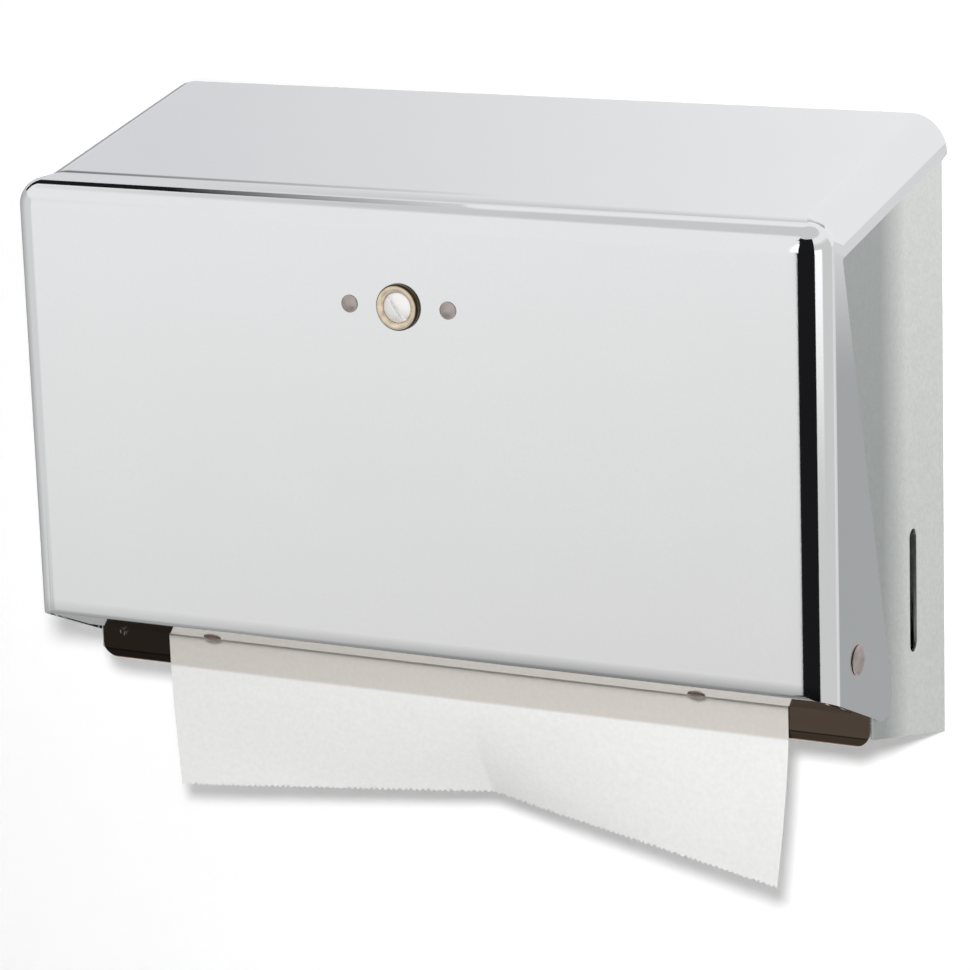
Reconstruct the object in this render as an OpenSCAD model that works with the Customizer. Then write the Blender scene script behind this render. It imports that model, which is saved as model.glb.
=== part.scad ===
// Wall-mounted dispenser for folded paper towels.
// X runs across the width, the front faces -Y, the wall is the plane y = 0 and +Z is up.
// The origin is the centre of the four wall screws, on the cabinet's back face.

/* [Cover] */
// Width over the cover's two side skirts
cover_w = 283; // [270:1:300]
// Depth from the wall to the front face
cover_d = 98; // [94:1:106]
// Height of the top's rear edge above the centre of the wall screws
cover_top_z = 100; // [96:1:108]
// How far the sloping top falls from the wall to its crease
top_fall = 17.8; // [14:0.1:20]
// Distance of the crease behind the front face
strip_run = 15.5; // [12:0.5:18]
// How far the flatter strip in front of the crease falls
strip_fall = 1.9; // [1:0.1:2.5]
// Height of the front face, from its bottom edge to where its plane meets the top
face_h = 142; // [138:1:146]
// Thickness of the cover's sheet
cover_t = 1; // [0.6:0.1:1.2]
// Radius of the bends between top and skirts, at the wall
side_bend_r = 12; // [10:0.5:14]
// Radius of the bends round the front face
front_bend_r = 8.5; // [6:0.5:9]
// Radius of the fold between front face and bottom flange
fold_r = 2; // [1.5:0.5:3]
// Gap between the top's rear edge and the wall
rear_gap = 0.8; // [0.5:0.1:2]

/* [Skirts and flange] */
// Height of the skirts along the top
skirt_h = 12.1; // [11.3:0.1:14]
// Distance behind the front face at which the skirt starts to widen, under the top
skirt_neck = 13.7; // [12:0.1:18]
// Distance behind the front face of the skirt's lower rear corner
skirt_foot = 52; // [46:0.5:56]
// Radius of the skirt's lower rear corner
skirt_foot_r = 7; // [4:0.5:9]
// Angle at which the bottom flange falls towards the back
flange_slope = 23.5; // [21:0.5:25]
// Length of the bottom flange, measured level
flange_run = 26; // [24:0.5:26.5]
// Space between each end of the flange and the skirt's outer face
flange_end_gap = 4; // [3:0.5:8]

/* [Cabinet] */
// Thickness of the cabinet's sheet
cabinet_t = 1; // [0.8:0.1:1.2]
// Gap between skirt and cabinet wall
side_gap = 0.5; // [0.4:0.1:1]
// Overall height, from the top's rear edge to the foot of the back
overall_h = 199; // [194:1:206]
// How much the side walls' lower edge rises from back to front
foot_rise = 14.6; // [10:0.2:18]
// Distance of the side walls' upper edge below the top
wall_drop = 10.8; // [10.8:0.1:11.2]
// Radius of the two bends of the cabinet's sheet
cabinet_bend_r = 2; // [1.5:0.5:3]
// Gap between the top's underside and the back's upper edge
back_gap = 1; // [0.8:0.1:2]
// Level distance between the wall screws
screw_dx = 203.2; // [150:0.1:230]
// Upright distance between the wall screws
screw_dz = 101.6; // [60:0.1:120]
// Radius of the holes for the wall screws
screw_hole_r = 3; // [2.5:0.1:3.5]

/* [Sight slot] */
// Distance of the sight slot's middle from the wall
slot_in = 27.6; // [20:0.2:36]
// Width of the sight slot
slot_w = 5.6; // [5:0.1:8]
// Length of the sight slot over its round ends
slot_len = 39.6; // [30:0.2:60]
// Height of the slot's lower end above the shelf
slot_up = 6.8; // [5:0.2:12]

/* [Hinge] */
// Distance of the hinge axis behind the front face
hinge_in = 22; // [21.5:0.1:22.5]
// Height of the hinge axis above the front face's bottom edge
hinge_up = 7.2; // [6.8:0.1:7.6]
// Radius of the hinge rivets' shank
hinge_r = 3; // [2.5:0.1:3.2]
// Radius of the hinge rivets' head
hinge_head_r = 4.8; // [4.2:0.1:5.5]
// Height of the hinge rivets' head
hinge_head_h = 1.5; // [1.2:0.1:2]
// Radius of the round ear of the wall about the hinge axis
ear_r = 15.5; // [14.8:0.1:15.7]

/* [Shelf] */
// Depth of the shelf's floor below the hinge axis
shelf_drop = 17.5; // [17.3:0.1:20]
// Distance of the shelf's front lip behind the hinge axis
lip_back = 14; // [13.8:0.1:15]
// Radius of the bend between the shelf's floor and its lip
lip_bend_r = 1.5; // [1.2:0.1:3]
// Height of the lip's upper band
lip_h = 12.1; // [10:0.1:14]
// Height of the lip's lower band
hem_h = 2.9; // [2:0.1:5]
// How far the lower band leans back
hem_lean = 0.8; // [0:0.1:1.5]
// Radius of the lip's lower corners
lip_corner_r = 5; // [2:0.5:8]
// Height of the shelf's turned-down edges
shelf_edge_h = 7; // [5:0.5:9]

/* [Latch rail] */
// Height of the latch rail
rail_h = 12; // [10:0.5:13]
// Depth of the rail's turned edges
rail_d = 7; // [5:0.5:8]
// Gap between the cover's front face and the rail
rail_gap = 5.4; // [4.6:0.1:7]
// Height of the rail's lower edge above the lock axis
rail_up = 9; // [8.5:0.1:11]

/* [Lock] */
// Depth of the lock axis below the plane of the top, at the front face
lock_drop = 31.3; // [30.8:0.1:34]
// Radius of the ring round the lock
ring_r = 7.3; // [6.8:0.1:8]
// Radius of the bush's barrel
barrel_r = 6; // [5.6:0.1:6.3]
// Radius of the lock plug
plug_r = 4.75; // [4:0.05:4.9]
// Height of the plug's rim over the front face
plug_proud = 1; // [0:0.1:1.5]
// Height of the plug's domed face
plug_dome_h = 0.9; // [0.5:0.1:1.4]
// Width of the screwdriver slot
driver_slot_w = 1.3; // [0.8:0.1:1.8]
// Depth of the screwdriver slot
driver_slot_d = 1.4; // [0.8:0.1:2]
// Lean of the screwdriver slot from upright, at rest
driver_slot_lean = 34.5; // [0:0.5:90]
// Thickness of the lock cam
cam_t = 2; // [1.5:0.1:2.5]
// Width of the lock cam's arm
cam_w = 8; // [6:0.5:10]
// Reach of the lock cam from its axis
cam_reach = 17; // [14:0.5:19]
// Radius of the lock cam's eye
cam_eye_r = 6.5; // [5.6:0.1:7]
// Width of the plug's square tail
tail_w = 5; // [4:0.1:5.6]
// Radius of the cam washer
washer_r = 5; // [4.2:0.1:6]
// Thickness of the cam washer
washer_t = 1; // [0.6:0.1:1.4]
// Radius of the cam screw's shank
screw_r = 1.5; // [1.2:0.1:1.8]
// Radius of the cam screw's head
screw_head_r = 3.2; // [2.6:0.1:3.8]
// Height of the cam screw's head
screw_head_h = 2; // [1.2:0.1:2.6]
// Thickness of the lock plate
plate_t = 1; // [0.8:0.1:1.5]
// Height of the lock plate
plate_h = 13.6; // [13:0.1:15]
// Distance of the lock rivets from the lock axis
lock_rivet_x = 17.2; // [14:0.1:24]

/* [Throat guide] */
// Distance of the guide rivets from the middle
guide_rivet_x = 87.3; // [60:0.1:110]
// Distance of the guide rivets behind the front face
guide_rivet_in = 22.5; // [19:0.1:22.8]
// Length of the throat guide
guide_len = 196; // [180:1:250]
// Thickness of the throat guide
guide_t = 0.8; // [0.6:0.1:1.2]
// Width of the throat guide along the flange
guide_w = 12; // [8:0.5:14]
// Height of the throat guide's turned-up edge
guide_lip_h = 2; // [1.4:0.1:3]

/* [Small rivets] */
// Radius of the small rivets' shank
rivet_r = 1.6; // [1.2:0.1:1.8]
// Radius of the small rivets' head
rivet_head_r = 2.8; // [2.4:0.1:3.4]
// Height of the small rivets' head
rivet_head_h = 1.1; // [0.8:0.1:1.5]

/* [Towels] */
// Width of a folded towel
towel_w = 225; // [200:1:250]
// Number of folded towels left on the shelf
pack_count = 6; // [2:1:6]
// Thickness of one folded towel
fold_t = 1; // [0.6:0.1:1]
// Thickness of the hanging leaf
leaf_t = 0.5; // [0.3:0.05:0.6]
// Drop of the hanging leaf below the shelf, at its crease
leaf_drop = 50.5; // [30:0.5:90]
// How much lower the leaf's left corner hangs than its crease
left_drop = 7.2; // [0:0.2:15]
// How much lower the leaf's right corner hangs than its crease
right_drop = 9.4; // [0:0.2:15]
// How far the crease swings back from the lip
crease_back = 15.8; // [0:0.2:20]
// How far the left corner swings back from the lip
left_back = 2.8; // [0:0.2:14]
// How far the right corner swings forward from the lip
right_front = 10.2; // [0:0.2:14]
// Number of teeth along the torn edge
tooth_count = 112; // [56:28:168]
// Height of a tooth
tooth_h = 0.9; // [0.5:0.1:1.5]

/* [Hidden] */
$fn = 64;
bend_n = 8;          // facets of each of the cover's bends
running = 0.05;      // radial clearance of a rivet or plug in its hole
loose = 0.1;         // gap under the head of the hinge rivets
clear = 0.4;         // gap between the cam and the rail, and round the back's upper corners
soft_gap = 0.3;      // gap between paper and what it lies on
reach = 5;           // run-out of cutting shapes past a surface
bead_rim = 0.6;      // share of the lock ring's bead radius that stands straight
swage = 1;           // width and height of the bush's swaged edge
clinch_share = 0.85; // a clinched rivet end's radius against its head's
end_share = 0.7;     // length of the shelf's turned-down ends against its depth
pack_front = 5;      // distance of the pack's front behind the lip
pack_back = 2;       // distance of the pack from the cabinet's back
leaf_start = 3;      // level run of the leaf before the shelf's front bend
swing_power = 1.4;   // how much the leaf's swing grows towards its lower edge

cover_hw = cover_w / 2;
skirt_in = cover_hw - cover_t;
wall_out = skirt_in - side_gap;
wall_in = wall_out - cabinet_t;
crease_y = strip_run - cover_d;
top_slope = atan(-top_fall / crease_y);
strip_slope = atan(strip_fall / strip_run);
face_top_z = cover_top_z - top_fall - strip_fall;
face_bottom_z = face_top_z - face_h;
back_bottom_z = cover_top_z - overall_h;
hinge_y = hinge_in - cover_d;
hinge_z = face_bottom_z + hinge_up;
wall_front_y = hinge_y - ear_r;
shelf_z = hinge_z - shelf_drop;
lip_y = hinge_y + lip_back;
leg_y = lip_y + cabinet_t;
lock_z = face_top_z - lock_drop;
flange_end_y = flange_run - cover_d;
flange_hw = cover_hw - flange_end_gap;
rail_z = lock_z + rail_up;
clinch_r = clinch_share * rivet_head_r;
clinch_h = rivet_head_h / 2;
rail_y = cover_t + rail_gap + rail_d - cover_d;
cam_y = rail_y + clear;
plug_len = cam_y + cover_d;

function top_z(y) = cover_top_z + y * tan(top_slope);
function strip_z(y) = face_top_z + (y + cover_d) * tan(strip_slope);
function flange_z(y) = face_bottom_z - (y + cover_d) * tan(flange_slope);
function unit(v) = v / norm(v);
function turn_to(a, b) = (b - a + 540) % 360 - 180;

// Points of the arc of radius r that rounds corner b between a and c
function corner_arc(a, b, c, r, n = 8) =
    r == 0 ? [b] :
    let (u = unit(a - b), w = unit(c - b), half = acos(u * w) / 2)
    let (m = b + unit(u + w) * r / sin(half), p = b + u * r / tan(half) - m, q = b + w * r / tan(half) - m)
    let (from = atan2(p[1], p[0]), sweep = turn_to(from, atan2(q[1], q[0])))
    [for (i = [0:n]) m + r * [cos(from + sweep * i / n), sin(from + sweep * i / n)]];

// Outline through pts, with a radius for each corner
function rounded(pts, radii) =
    let (k = len(pts))
    [for (i = [0:k - 1]) each corner_arc(pts[(i + k - 1) % k], pts[i], pts[(i + 1) % k], radii[i])];

// Extrudes a (y, z) outline along X, centred
module along_x(w) rotate([90, 0, 90]) linear_extrude(w, center = true) children();

// Extrudes an (x, z) outline from y towards the front by t
module plate_at(y, t) translate([0, y, 0]) rotate([90, 0, 0]) linear_extrude(t) children();

// Places children on the front face at (x, z), with +Z pointing out of the face
module on_face(x, z) translate([x, -cover_d, z]) rotate([90, 0, 0]) children();

// Places children on the flange's outer side, with +Z pointing into the cover
module on_flange(x, y) translate([x, y, flange_z(y)]) rotate([-flange_slope, 0, 0]) children();

// Spherical cap of height h on a base of radius r
module cap(r, h) {
    ball_r = (r * r + h * h) / (2 * h);
    intersection() {
        translate([0, 0, h - ball_r]) sphere(ball_r);
        translate([-2 * r, -2 * r, 0]) cube([4 * r, 4 * r, h + reach]);
    }
}

// Rivet head: a short rim under a domed top
module rivet_head(r, h) {
    rim = h / 3;
    cylinder(r = r, h = rim);
    translate([0, 0, rim]) cap(r, h - rim);
}

// Rivet through a grip that runs down from z = 0, with a flat clinched head below it
module small_rivet(grip) {
    rivet_head(rivet_head_r, rivet_head_h);
    translate([0, 0, -grip]) cylinder(r = rivet_r, h = grip);
    translate([0, 0, -grip - clinch_h]) cylinder(r = clinch_r, h = clinch_h);
}

// Upright section of the cover block at y, with rounded upper corners, from the right foot to the left
function section(y, half_w, top, r, low) = [
    [half_w, y, low],
    for (i = [0:bend_n]) let (a = 90 * i / bend_n) [half_w - r + r * cos(a), y, top - r + r * sin(a)],
    for (i = [bend_n:-1:0]) let (a = 90 * i / bend_n) [r - half_w - r * cos(a), y, top - r + r * sin(a)],
    [-half_w, y, low]];

// Solid that the cover wraps, shrunk by inset and run out at the back and below
module cover_block(inset) {
    low = back_bottom_z - reach - inset;
    half_w = cover_hw - inset;
    side_r = side_bend_r - inset;
    front_r = front_bend_r - inset;
    ball_x = cover_hw - front_bend_r;
    ball_y = front_bend_r - cover_d;
    ball_z = strip_z(ball_y) - front_bend_r / cos(strip_slope);
    top_in = inset / cos(top_slope);
    bend_y = crease_y + (top_in - inset / cos(strip_slope)) / (tan(top_slope) - tan(strip_slope));
    back_y = reach + inset;
    rings = [
        for (k = [1:bend_n])
            let (a = (90 - strip_slope) * k / bend_n, s = front_r * sin(a))
            section(ball_y - front_r * cos(a), ball_x + s, ball_z + s, s, low),
        section(ball_y, half_w, ball_z + front_r / cos(strip_slope), front_r, low),
        section(bend_y, half_w, top_z(bend_y) - top_in, side_r, low),
        section(back_y, half_w, top_z(back_y) - top_in, side_r, low)];
    face_y = ball_y - front_r;
    face = [[ball_x, face_y, low], [ball_x, face_y, ball_z],
            [-ball_x, face_y, ball_z], [-ball_x, face_y, low]];
    n = len(rings[0]);
    right = 4 + 1;
    left = right + bend_n + 1;
    last = 4 + n - 1;
    rear = 4 + n * (len(rings) - 1);
    faces = [
        [3, 2, 1, 0], [0, 1, right, 4], [2, left, left - 1, 1], [3, last, last - 1, 2], [3, 0, 4, last],
        for (i = [0:bend_n - 1]) each [[1, right + i + 1, right + i], [2, left + i + 1, left + i]],
        for (k = [0:len(rings) - 2], i = [0:n - 1])
            let (a = 4 + n * k, j = (i + 1) % n)
            each i == 0 || i == bend_n + 1 || i >= n - 2
                ? [[a + i, a + j, a + n + j, a + n + i]]
                : [[a + i, a + j, a + n + j], [a + i, a + n + j, a + n + i]],
        [for (i = [0:n - 1]) rear + i]];
    polyhedron(concat(face, [for (r = rings) each r]), faces);
}

// Side view of the cover: skirts along top and front, and the sloping bottom
module cover_outline() {
    neck_y = skirt_neck - cover_d;
    foot_y = skirt_foot - cover_d;
    polygon(rounded(
        [[-rear_gap, cover_top_z + reach], [-rear_gap, top_z(-rear_gap) - skirt_h],
         [neck_y, top_z(neck_y) - skirt_h], [foot_y, flange_z(foot_y)], [-cover_d, face_bottom_z],
         [-cover_d, face_bottom_z + 2 * fold_r], [-cover_d - reach, face_bottom_z + 2 * fold_r],
         [-cover_d - reach, cover_top_z + reach]],
        [0, 0, 1, skirt_foot_r, fold_r, 0, 0, 0]));
}

// Side view of the bottom flange
module flange_band() {
    rise = cover_t / cos(flange_slope);
    front_y = -cover_d - reach;
    polygon([[front_y, flange_z(front_y) - reach], [flange_end_y, flange_z(flange_end_y) - reach],
             [flange_end_y, flange_z(flange_end_y) + rise], [front_y, flange_z(front_y) + rise]]);
}

module cover_shell() {
    color("gainsboro") difference() {
        intersection() {
            cover_block(0);
            along_x(cover_w + reach) cover_outline();
        }
        difference() {
            cover_block(cover_t);
            along_x(2 * flange_hw) flange_band();
        }
        translate([0, hinge_y, hinge_z]) rotate([0, 90, 0])
            cylinder(r = hinge_r + running, h = cover_w + reach, center = true);
        on_face(0, lock_z) cylinder(r = barrel_r + running, h = reach, center = true);
        for (s = [-1, 1]) {
            on_face(s * lock_rivet_x, lock_z) cylinder(r = rivet_r + running, h = reach, center = true);
            on_flange(s * guide_rivet_x, guide_rivet_in - cover_d)
                cylinder(r = rivet_r + running, h = reach, center = true);
        }
    }
}

// Side view of a cabinet wall, with its round ear about the hinge axis
module wall_outline() {
    polygon(rounded(
        [[0, top_z(0) - wall_drop], [wall_front_y, top_z(wall_front_y) - wall_drop], [wall_front_y, hinge_z],
         [leg_y, hinge_z], [leg_y, back_bottom_z + foot_rise], [0, back_bottom_z]],
        [0, 3, 0, 0, 1.5, 0]));
    translate([hinge_y, hinge_z]) circle(ear_r);
}

// Plan of the cabinet's sheet: back and two walls with their bends
module cabinet_plan() {
    far_y = -cover_d;
    difference() {
        polygon(rounded([[-wall_out, far_y], [-wall_out, 0], [wall_out, 0], [wall_out, far_y]],
                        [0, cabinet_bend_r, cabinet_bend_r, 0]));
        polygon(rounded([[-wall_in, far_y - reach], [-wall_in, -cabinet_t],
                         [wall_in, -cabinet_t], [wall_in, far_y - reach]],
                        [0, cabinet_bend_r - cabinet_t, cabinet_bend_r - cabinet_t, 0]));
    }
}

// Upper part of the back, with corners that follow the cover's bends
module back_crown() {
    crown_x = cover_hw - side_bend_r;
    crown_z = cover_top_z - side_bend_r;
    crown_r = side_bend_r - cover_t - back_gap;
    low_z = top_z(0) - wall_drop - cabinet_bend_r;
    translate([-crown_x, low_z]) square([2 * crown_x, crown_z + crown_r - low_z]);
    intersection() {
        for (s = [-1, 1]) translate([s * crown_x, crown_z]) circle(crown_r);
        translate([-cover_hw, low_z]) square([cover_w, overall_h]);
    }
}

module sight_slot() {
    low_z = shelf_z + slot_up;
    end_r = slot_w / 2;
    for (z = [low_z + end_r, low_z + slot_len - end_r]) translate([-slot_in, z]) circle(end_r);
    translate([-slot_in - end_r, low_z + end_r]) square([slot_w, slot_len - slot_w]);
}

module cabinet_shell() {
    color("darkgray") difference() {
        union() {
            intersection() {
                translate([0, 0, back_bottom_z - reach]) linear_extrude(overall_h + reach) cabinet_plan();
                along_x(2 * wall_out + reach) wall_outline();
            }
            plate_at(0, cabinet_t) back_crown();
        }
        along_x(cover_w + reach) sight_slot();
        translate([0, hinge_y, hinge_z]) rotate([0, 90, 0])
            cylinder(r = hinge_r + running, h = cover_w + reach, center = true);
        for (sx = [-1, 1], sz = [-1, 1])
            translate([sx * screw_dx / 2, 0, sz * screw_dz / 2]) rotate([90, 0, 0])
                cylinder(r = screw_hole_r, h = 4 * cabinet_t, center = true);
    }
}

// Section of the shelf: turned-down rear edge, floor, lip and leaning hem
module shelf_section() {
    t = cabinet_t;
    fold_z = shelf_z - lip_h;
    hem_z = fold_z - hem_h;
    polygon(rounded(
        [[-t, shelf_z - shelf_edge_h], [-t, shelf_z], [lip_y, shelf_z], [lip_y, fold_z],
         [lip_y + hem_lean, hem_z], [lip_y + hem_lean + t, hem_z], [lip_y + t, fold_z],
         [lip_y + t, shelf_z - t], [-2 * t, shelf_z - t], [-2 * t, shelf_z - shelf_edge_h]],
        [0, 0, lip_bend_r, 0, 0, 0, 0, lip_bend_r - t, 0, 0]));
}

module towel_shelf() {
    foot_z = shelf_z - lip_h - hem_h;
    color("dimgray") {
        intersection() {
            along_x(2 * wall_in) shelf_section();
            plate_at(reach, cover_d) polygon(rounded(
                [[-wall_in, shelf_z + reach], [wall_in, shelf_z + reach],
                 [wall_in, foot_z], [-wall_in, foot_z]],
                [0, 0, lip_corner_r, lip_corner_r]));
            translate([0, 0, foot_z - reach]) linear_extrude(overall_h) polygon(rounded(
                [[-wall_in, -cover_d], [-wall_in, -cabinet_t], [wall_in, -cabinet_t], [wall_in, -cover_d]],
                [0, cabinet_bend_r, cabinet_bend_r, 0]));
        }
        for (s = [-1, 1])
            translate([s * (wall_in - cabinet_t / 2), (lip_y - cabinet_t) / 2, shelf_z - shelf_edge_h / 2])
                cube([cabinet_t, -lip_y * end_share, shelf_edge_h], center = true);
    }
}

// Strip between the side walls that the cam hooks behind, its top and ends turned to the front
module latch_rail() {
    t = cabinet_t;
    color("silver") difference() {
        translate([-wall_in, rail_y - rail_d, rail_z]) cube([2 * wall_in, rail_d, rail_h]);
        translate([t - wall_in, rail_y - rail_d - t, rail_z - t]) cube([2 * (wall_in - t), rail_d, rail_h]);
    }
}

module hinge_rivets() {
    color("rosybrown") for (s = [-1, 1])
        translate([s * wall_in, hinge_y, hinge_z]) rotate([0, s * 90, 0]) {
            grip = cover_hw - wall_in + loose;
            cylinder(r = hinge_r, h = grip);
            translate([0, 0, grip]) rivet_head(hinge_head_r, hinge_head_h);
            translate([0, 0, -hinge_head_h / 2]) cylinder(r = hinge_head_r, h = hinge_head_h / 2);
        }
}

// Ring and barrel of the lock, swaged behind the lock plate
module lock_bush() {
    bore_r = plug_r + running;
    bead_r = (ring_r - bore_r) / 2;
    rim_h = bead_r * bead_rim;
    foot = -cover_t - plate_t - swage;
    color("goldenrod") on_face(0, lock_z) rotate_extrude() {
        translate([bore_r, 0]) square([ring_r - bore_r, rim_h]);
        intersection() {
            translate([bore_r + bead_r, rim_h]) circle(bead_r);
            translate([bore_r, 0]) square(ring_r);
        }
        translate([bore_r, foot]) square([barrel_r - bore_r, -foot]);
        translate([bore_r, foot]) square([barrel_r - bore_r + swage, swage]);
    }
}

// Rounded strap behind the front face that carries the bush and the two rivets
module lock_plate() {
    end_r = plate_h / 2;
    color("darkgray") plate_at(cover_t + plate_t - cover_d, plate_t) difference() {
        union() {
            for (s = [-1, 1]) translate([s * lock_rivet_x, lock_z]) circle(end_r);
            translate([-lock_rivet_x, lock_z - end_r]) square([2 * lock_rivet_x, 2 * end_r]);
        }
        translate([0, lock_z]) circle(barrel_r + running);
        for (s = [-1, 1]) translate([s * lock_rivet_x, lock_z]) circle(rivet_r + running);
    }
}

module lock_rivets() {
    color("rosybrown") for (s = [-1, 1])
        on_face(s * lock_rivet_x, lock_z) small_rivet(cover_t + plate_t);
}

// Strip on the flange's inner side with a turned-up rear edge that the towels run over
module throat_guide() {
    back_run = clinch_r + clear + guide_t;
    color("darkgray") difference() {
        on_flange(0, guide_rivet_in - cover_d) translate([-guide_len / 2, 0, cover_t]) {
            translate([0, back_run - guide_w, 0]) cube([guide_len, guide_w, guide_t]);
            translate([0, back_run - guide_t, 0]) cube([guide_len, guide_t, guide_lip_h]);
        }
        for (s = [-1, 1]) on_flange(s * guide_rivet_x, guide_rivet_in - cover_d)
            cylinder(r = rivet_r + running, h = 4 * cover_t);
    }
}

module guide_rivets() {
    color("rosybrown") for (s = [-1, 1])
        on_flange(s * guide_rivet_x, guide_rivet_in - cover_d) rotate([180, 0, 0])
            small_rivet(cover_t + guide_t);
}

module lock_plug() {
    face_z = plug_proud + plug_dome_h;
    ball_r = (plug_r * plug_r + plug_dome_h * plug_dome_h) / (2 * plug_dome_h);
    color("whitesmoke") on_face(0, lock_z) difference() {
        union() {
            rotate_extrude() intersection() {
                translate([0, face_z - ball_r]) circle(ball_r);
                translate([0, -plug_len]) square([plug_r, plug_len + face_z]);
            }
            translate([0, 0, -plug_len - cam_t / 2]) cube([tail_w, tail_w, cam_t], center = true);
        }
        rotate([0, 0, driver_slot_lean]) translate([0, 0, face_z])
            cube([driver_slot_w, 3 * plug_r, 2 * driver_slot_d], center = true);
        translate([0, 0, -plug_len - 2 * cam_t]) cylinder(r = screw_r + running, h = 5 * cam_t);
    }
}

module lock_cam() {
    color("silver") plate_at(cam_y + cam_t, cam_t) translate([0, lock_z]) difference() {
        union() {
            circle(cam_eye_r);
            translate([cam_w / 2 - cam_reach, 0]) circle(cam_w / 2);
            translate([cam_w / 2 - cam_reach, -cam_w / 2]) square([cam_reach - cam_w / 2, cam_w]);
        }
        square(tail_w + 2 * running, center = true);
    }
}

module cam_washer() {
    color("gold") plate_at(cam_y + cam_t + washer_t, washer_t) translate([0, lock_z]) difference() {
        circle(washer_r);
        circle(screw_r + 2 * running);
    }
}

module cam_screw() {
    shank = 2 * cam_t + washer_t;
    color("silver") on_face(0, lock_z) translate([0, 0, -plug_len - cam_t - washer_t]) rotate([180, 0, 0]) {
        rivet_head(screw_head_r, screw_head_h);
        translate([0, 0, -shank]) cylinder(r = screw_r, h = shank);
    }
}

// Folded towels lying on the shelf, each with round folds at front and back
module towel_pack() {
    back_y = -cabinet_t - pack_back;
    front_y = lip_y + pack_front;
    color("white") along_x(towel_w) for (i = [0:pack_count - 1]) {
        z = shelf_z + soft_gap + (i + 0.5) * fold_t;
        inner = i % 2 == 0 ? 0 : fold_t / 2;
        fold_y = front_y + fold_t / 2 + inner;
        translate([fold_y, z - fold_t / 2]) square([back_y - fold_t / 2 - fold_y, fold_t]);
        translate([fold_y, z]) circle(fold_t / 2);
        translate([back_y - fold_t / 2, z]) circle(fold_t / 2);
    }
}

// The hanging leaf is swept down from the pack, over the shelf's front edge and past the lip.
leaf_cols = 28;
leaf_rows = 11;
bend_rows = 4;
leaf_y = lip_y - soft_gap - leaf_t;
lip_share = (lip_h + hem_h) / leaf_drop;

// Level shift of the leaf's lower edge from the lip, for u from -1 to 1 across the leaf
function edge_shift(u) = crease_back + u * (u < 0 ? crease_back - left_back : -crease_back - right_front);
function edge_z(u) = shelf_z - leaf_drop - abs(u) * (u < 0 ? left_drop : right_drop);

// Point of the leaf's outer side in row i, as (y, z)
function leaf_outer(u, i) =
    i == 0 ? [lip_y + lip_bend_r + leaf_start, shelf_z + soft_gap + leaf_t] :
    i <= bend_rows ?
        let (a = 90 * (i - 1) / (bend_rows - 1), r = lip_bend_r + soft_gap + leaf_t)
        [lip_y + lip_bend_r - r * sin(a), shelf_z - lip_bend_r + r * cos(a)] :
    let (v = (i - bend_rows) / (leaf_rows - bend_rows), top = shelf_z - lip_bend_r)
    let (free = max(0, (v - lip_share) / (1 - lip_share)))
    [leaf_y + edge_shift(u) * pow(free, swing_power), top + (edge_z(u) - top) * v];

// Direction across the leaf's thickness, from its outer to its inner side
function leaf_in(u, i) =
    let (d = unit(leaf_outer(u, min(i + 1, leaf_rows)) - leaf_outer(u, max(i - 1, 0))))
    [-d[1], d[0]];
function leaf_point(u, i, side) =
    let (p = leaf_outer(u, i) + side * leaf_t * leaf_in(u, i))
    [u * towel_w / 2, p[0], p[1]];

module hanging_towel() {
    row_n = leaf_cols + 1;
    edge_n = 2 * tooth_count;
    per_col = edge_n / leaf_cols;
    mid = floor(per_col / 2);
    last = (leaf_rows - 1) * row_n;
    low = leaf_rows * row_n;
    side_n = low + edge_n + 1;
    points = [for (side = [0, 1]) each concat(
        [for (i = [0:leaf_rows - 1], j = [0:leaf_cols]) leaf_point(2 * j / leaf_cols - 1, i, side)],
        [for (k = [0:edge_n])
            leaf_point(2 * k / edge_n - 1, leaf_rows, side) - [0, 0, k % 2 * tooth_h]])];
    outer = [
        for (i = [0:leaf_rows - 2], j = [0:leaf_cols - 1])
            let (a = i * row_n + j) each [[a, a + 1, a + row_n], [a + 1, a + row_n + 1, a + row_n]],
        for (j = [0:leaf_cols - 1], k = [0:per_col - 1])
            let (b = low + j * per_col + k) [last + j + (k < mid ? 0 : 1), b + 1, b],
        for (j = [0:leaf_cols - 1]) [last + j, last + j + 1, low + j * per_col + mid]];
    rim = [
        for (j = [0:leaf_cols]) j,
        for (i = [1:leaf_rows - 1]) i * row_n + leaf_cols,
        for (k = [edge_n:-1:0]) low + k,
        for (i = [leaf_rows - 1:-1:1]) i * row_n];
    rim_n = len(rim);
    faces = [
        for (f = outer) f,
        for (f = outer) [for (i = [2:-1:0]) f[i] + side_n],
        for (k = [0:rim_n - 1])
            let (a = rim[k], b = rim[(k + 1) % rim_n])
            each [[b, a, a + side_n], [b, a + side_n, b + side_n]]];
    color("white") polyhedron(points, faces);
}

cabinet_shell();
towel_shelf();
latch_rail();
hinge_rivets();
towel_pack();
hanging_towel();
cover_shell();
lock_bush();
lock_plate();
lock_rivets();
throat_guide();
guide_rivets();
lock_plug();
lock_cam();
cam_washer();
cam_screw();
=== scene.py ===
"""Wall dispenser for folded paper towels: finishes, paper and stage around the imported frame."""
import math
from random import Random

import bmesh
import bpy
from bpy.props import FloatProperty, FloatVectorProperty, IntProperty, PointerProperty
from mathutils import Matrix, Vector, noise


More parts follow.
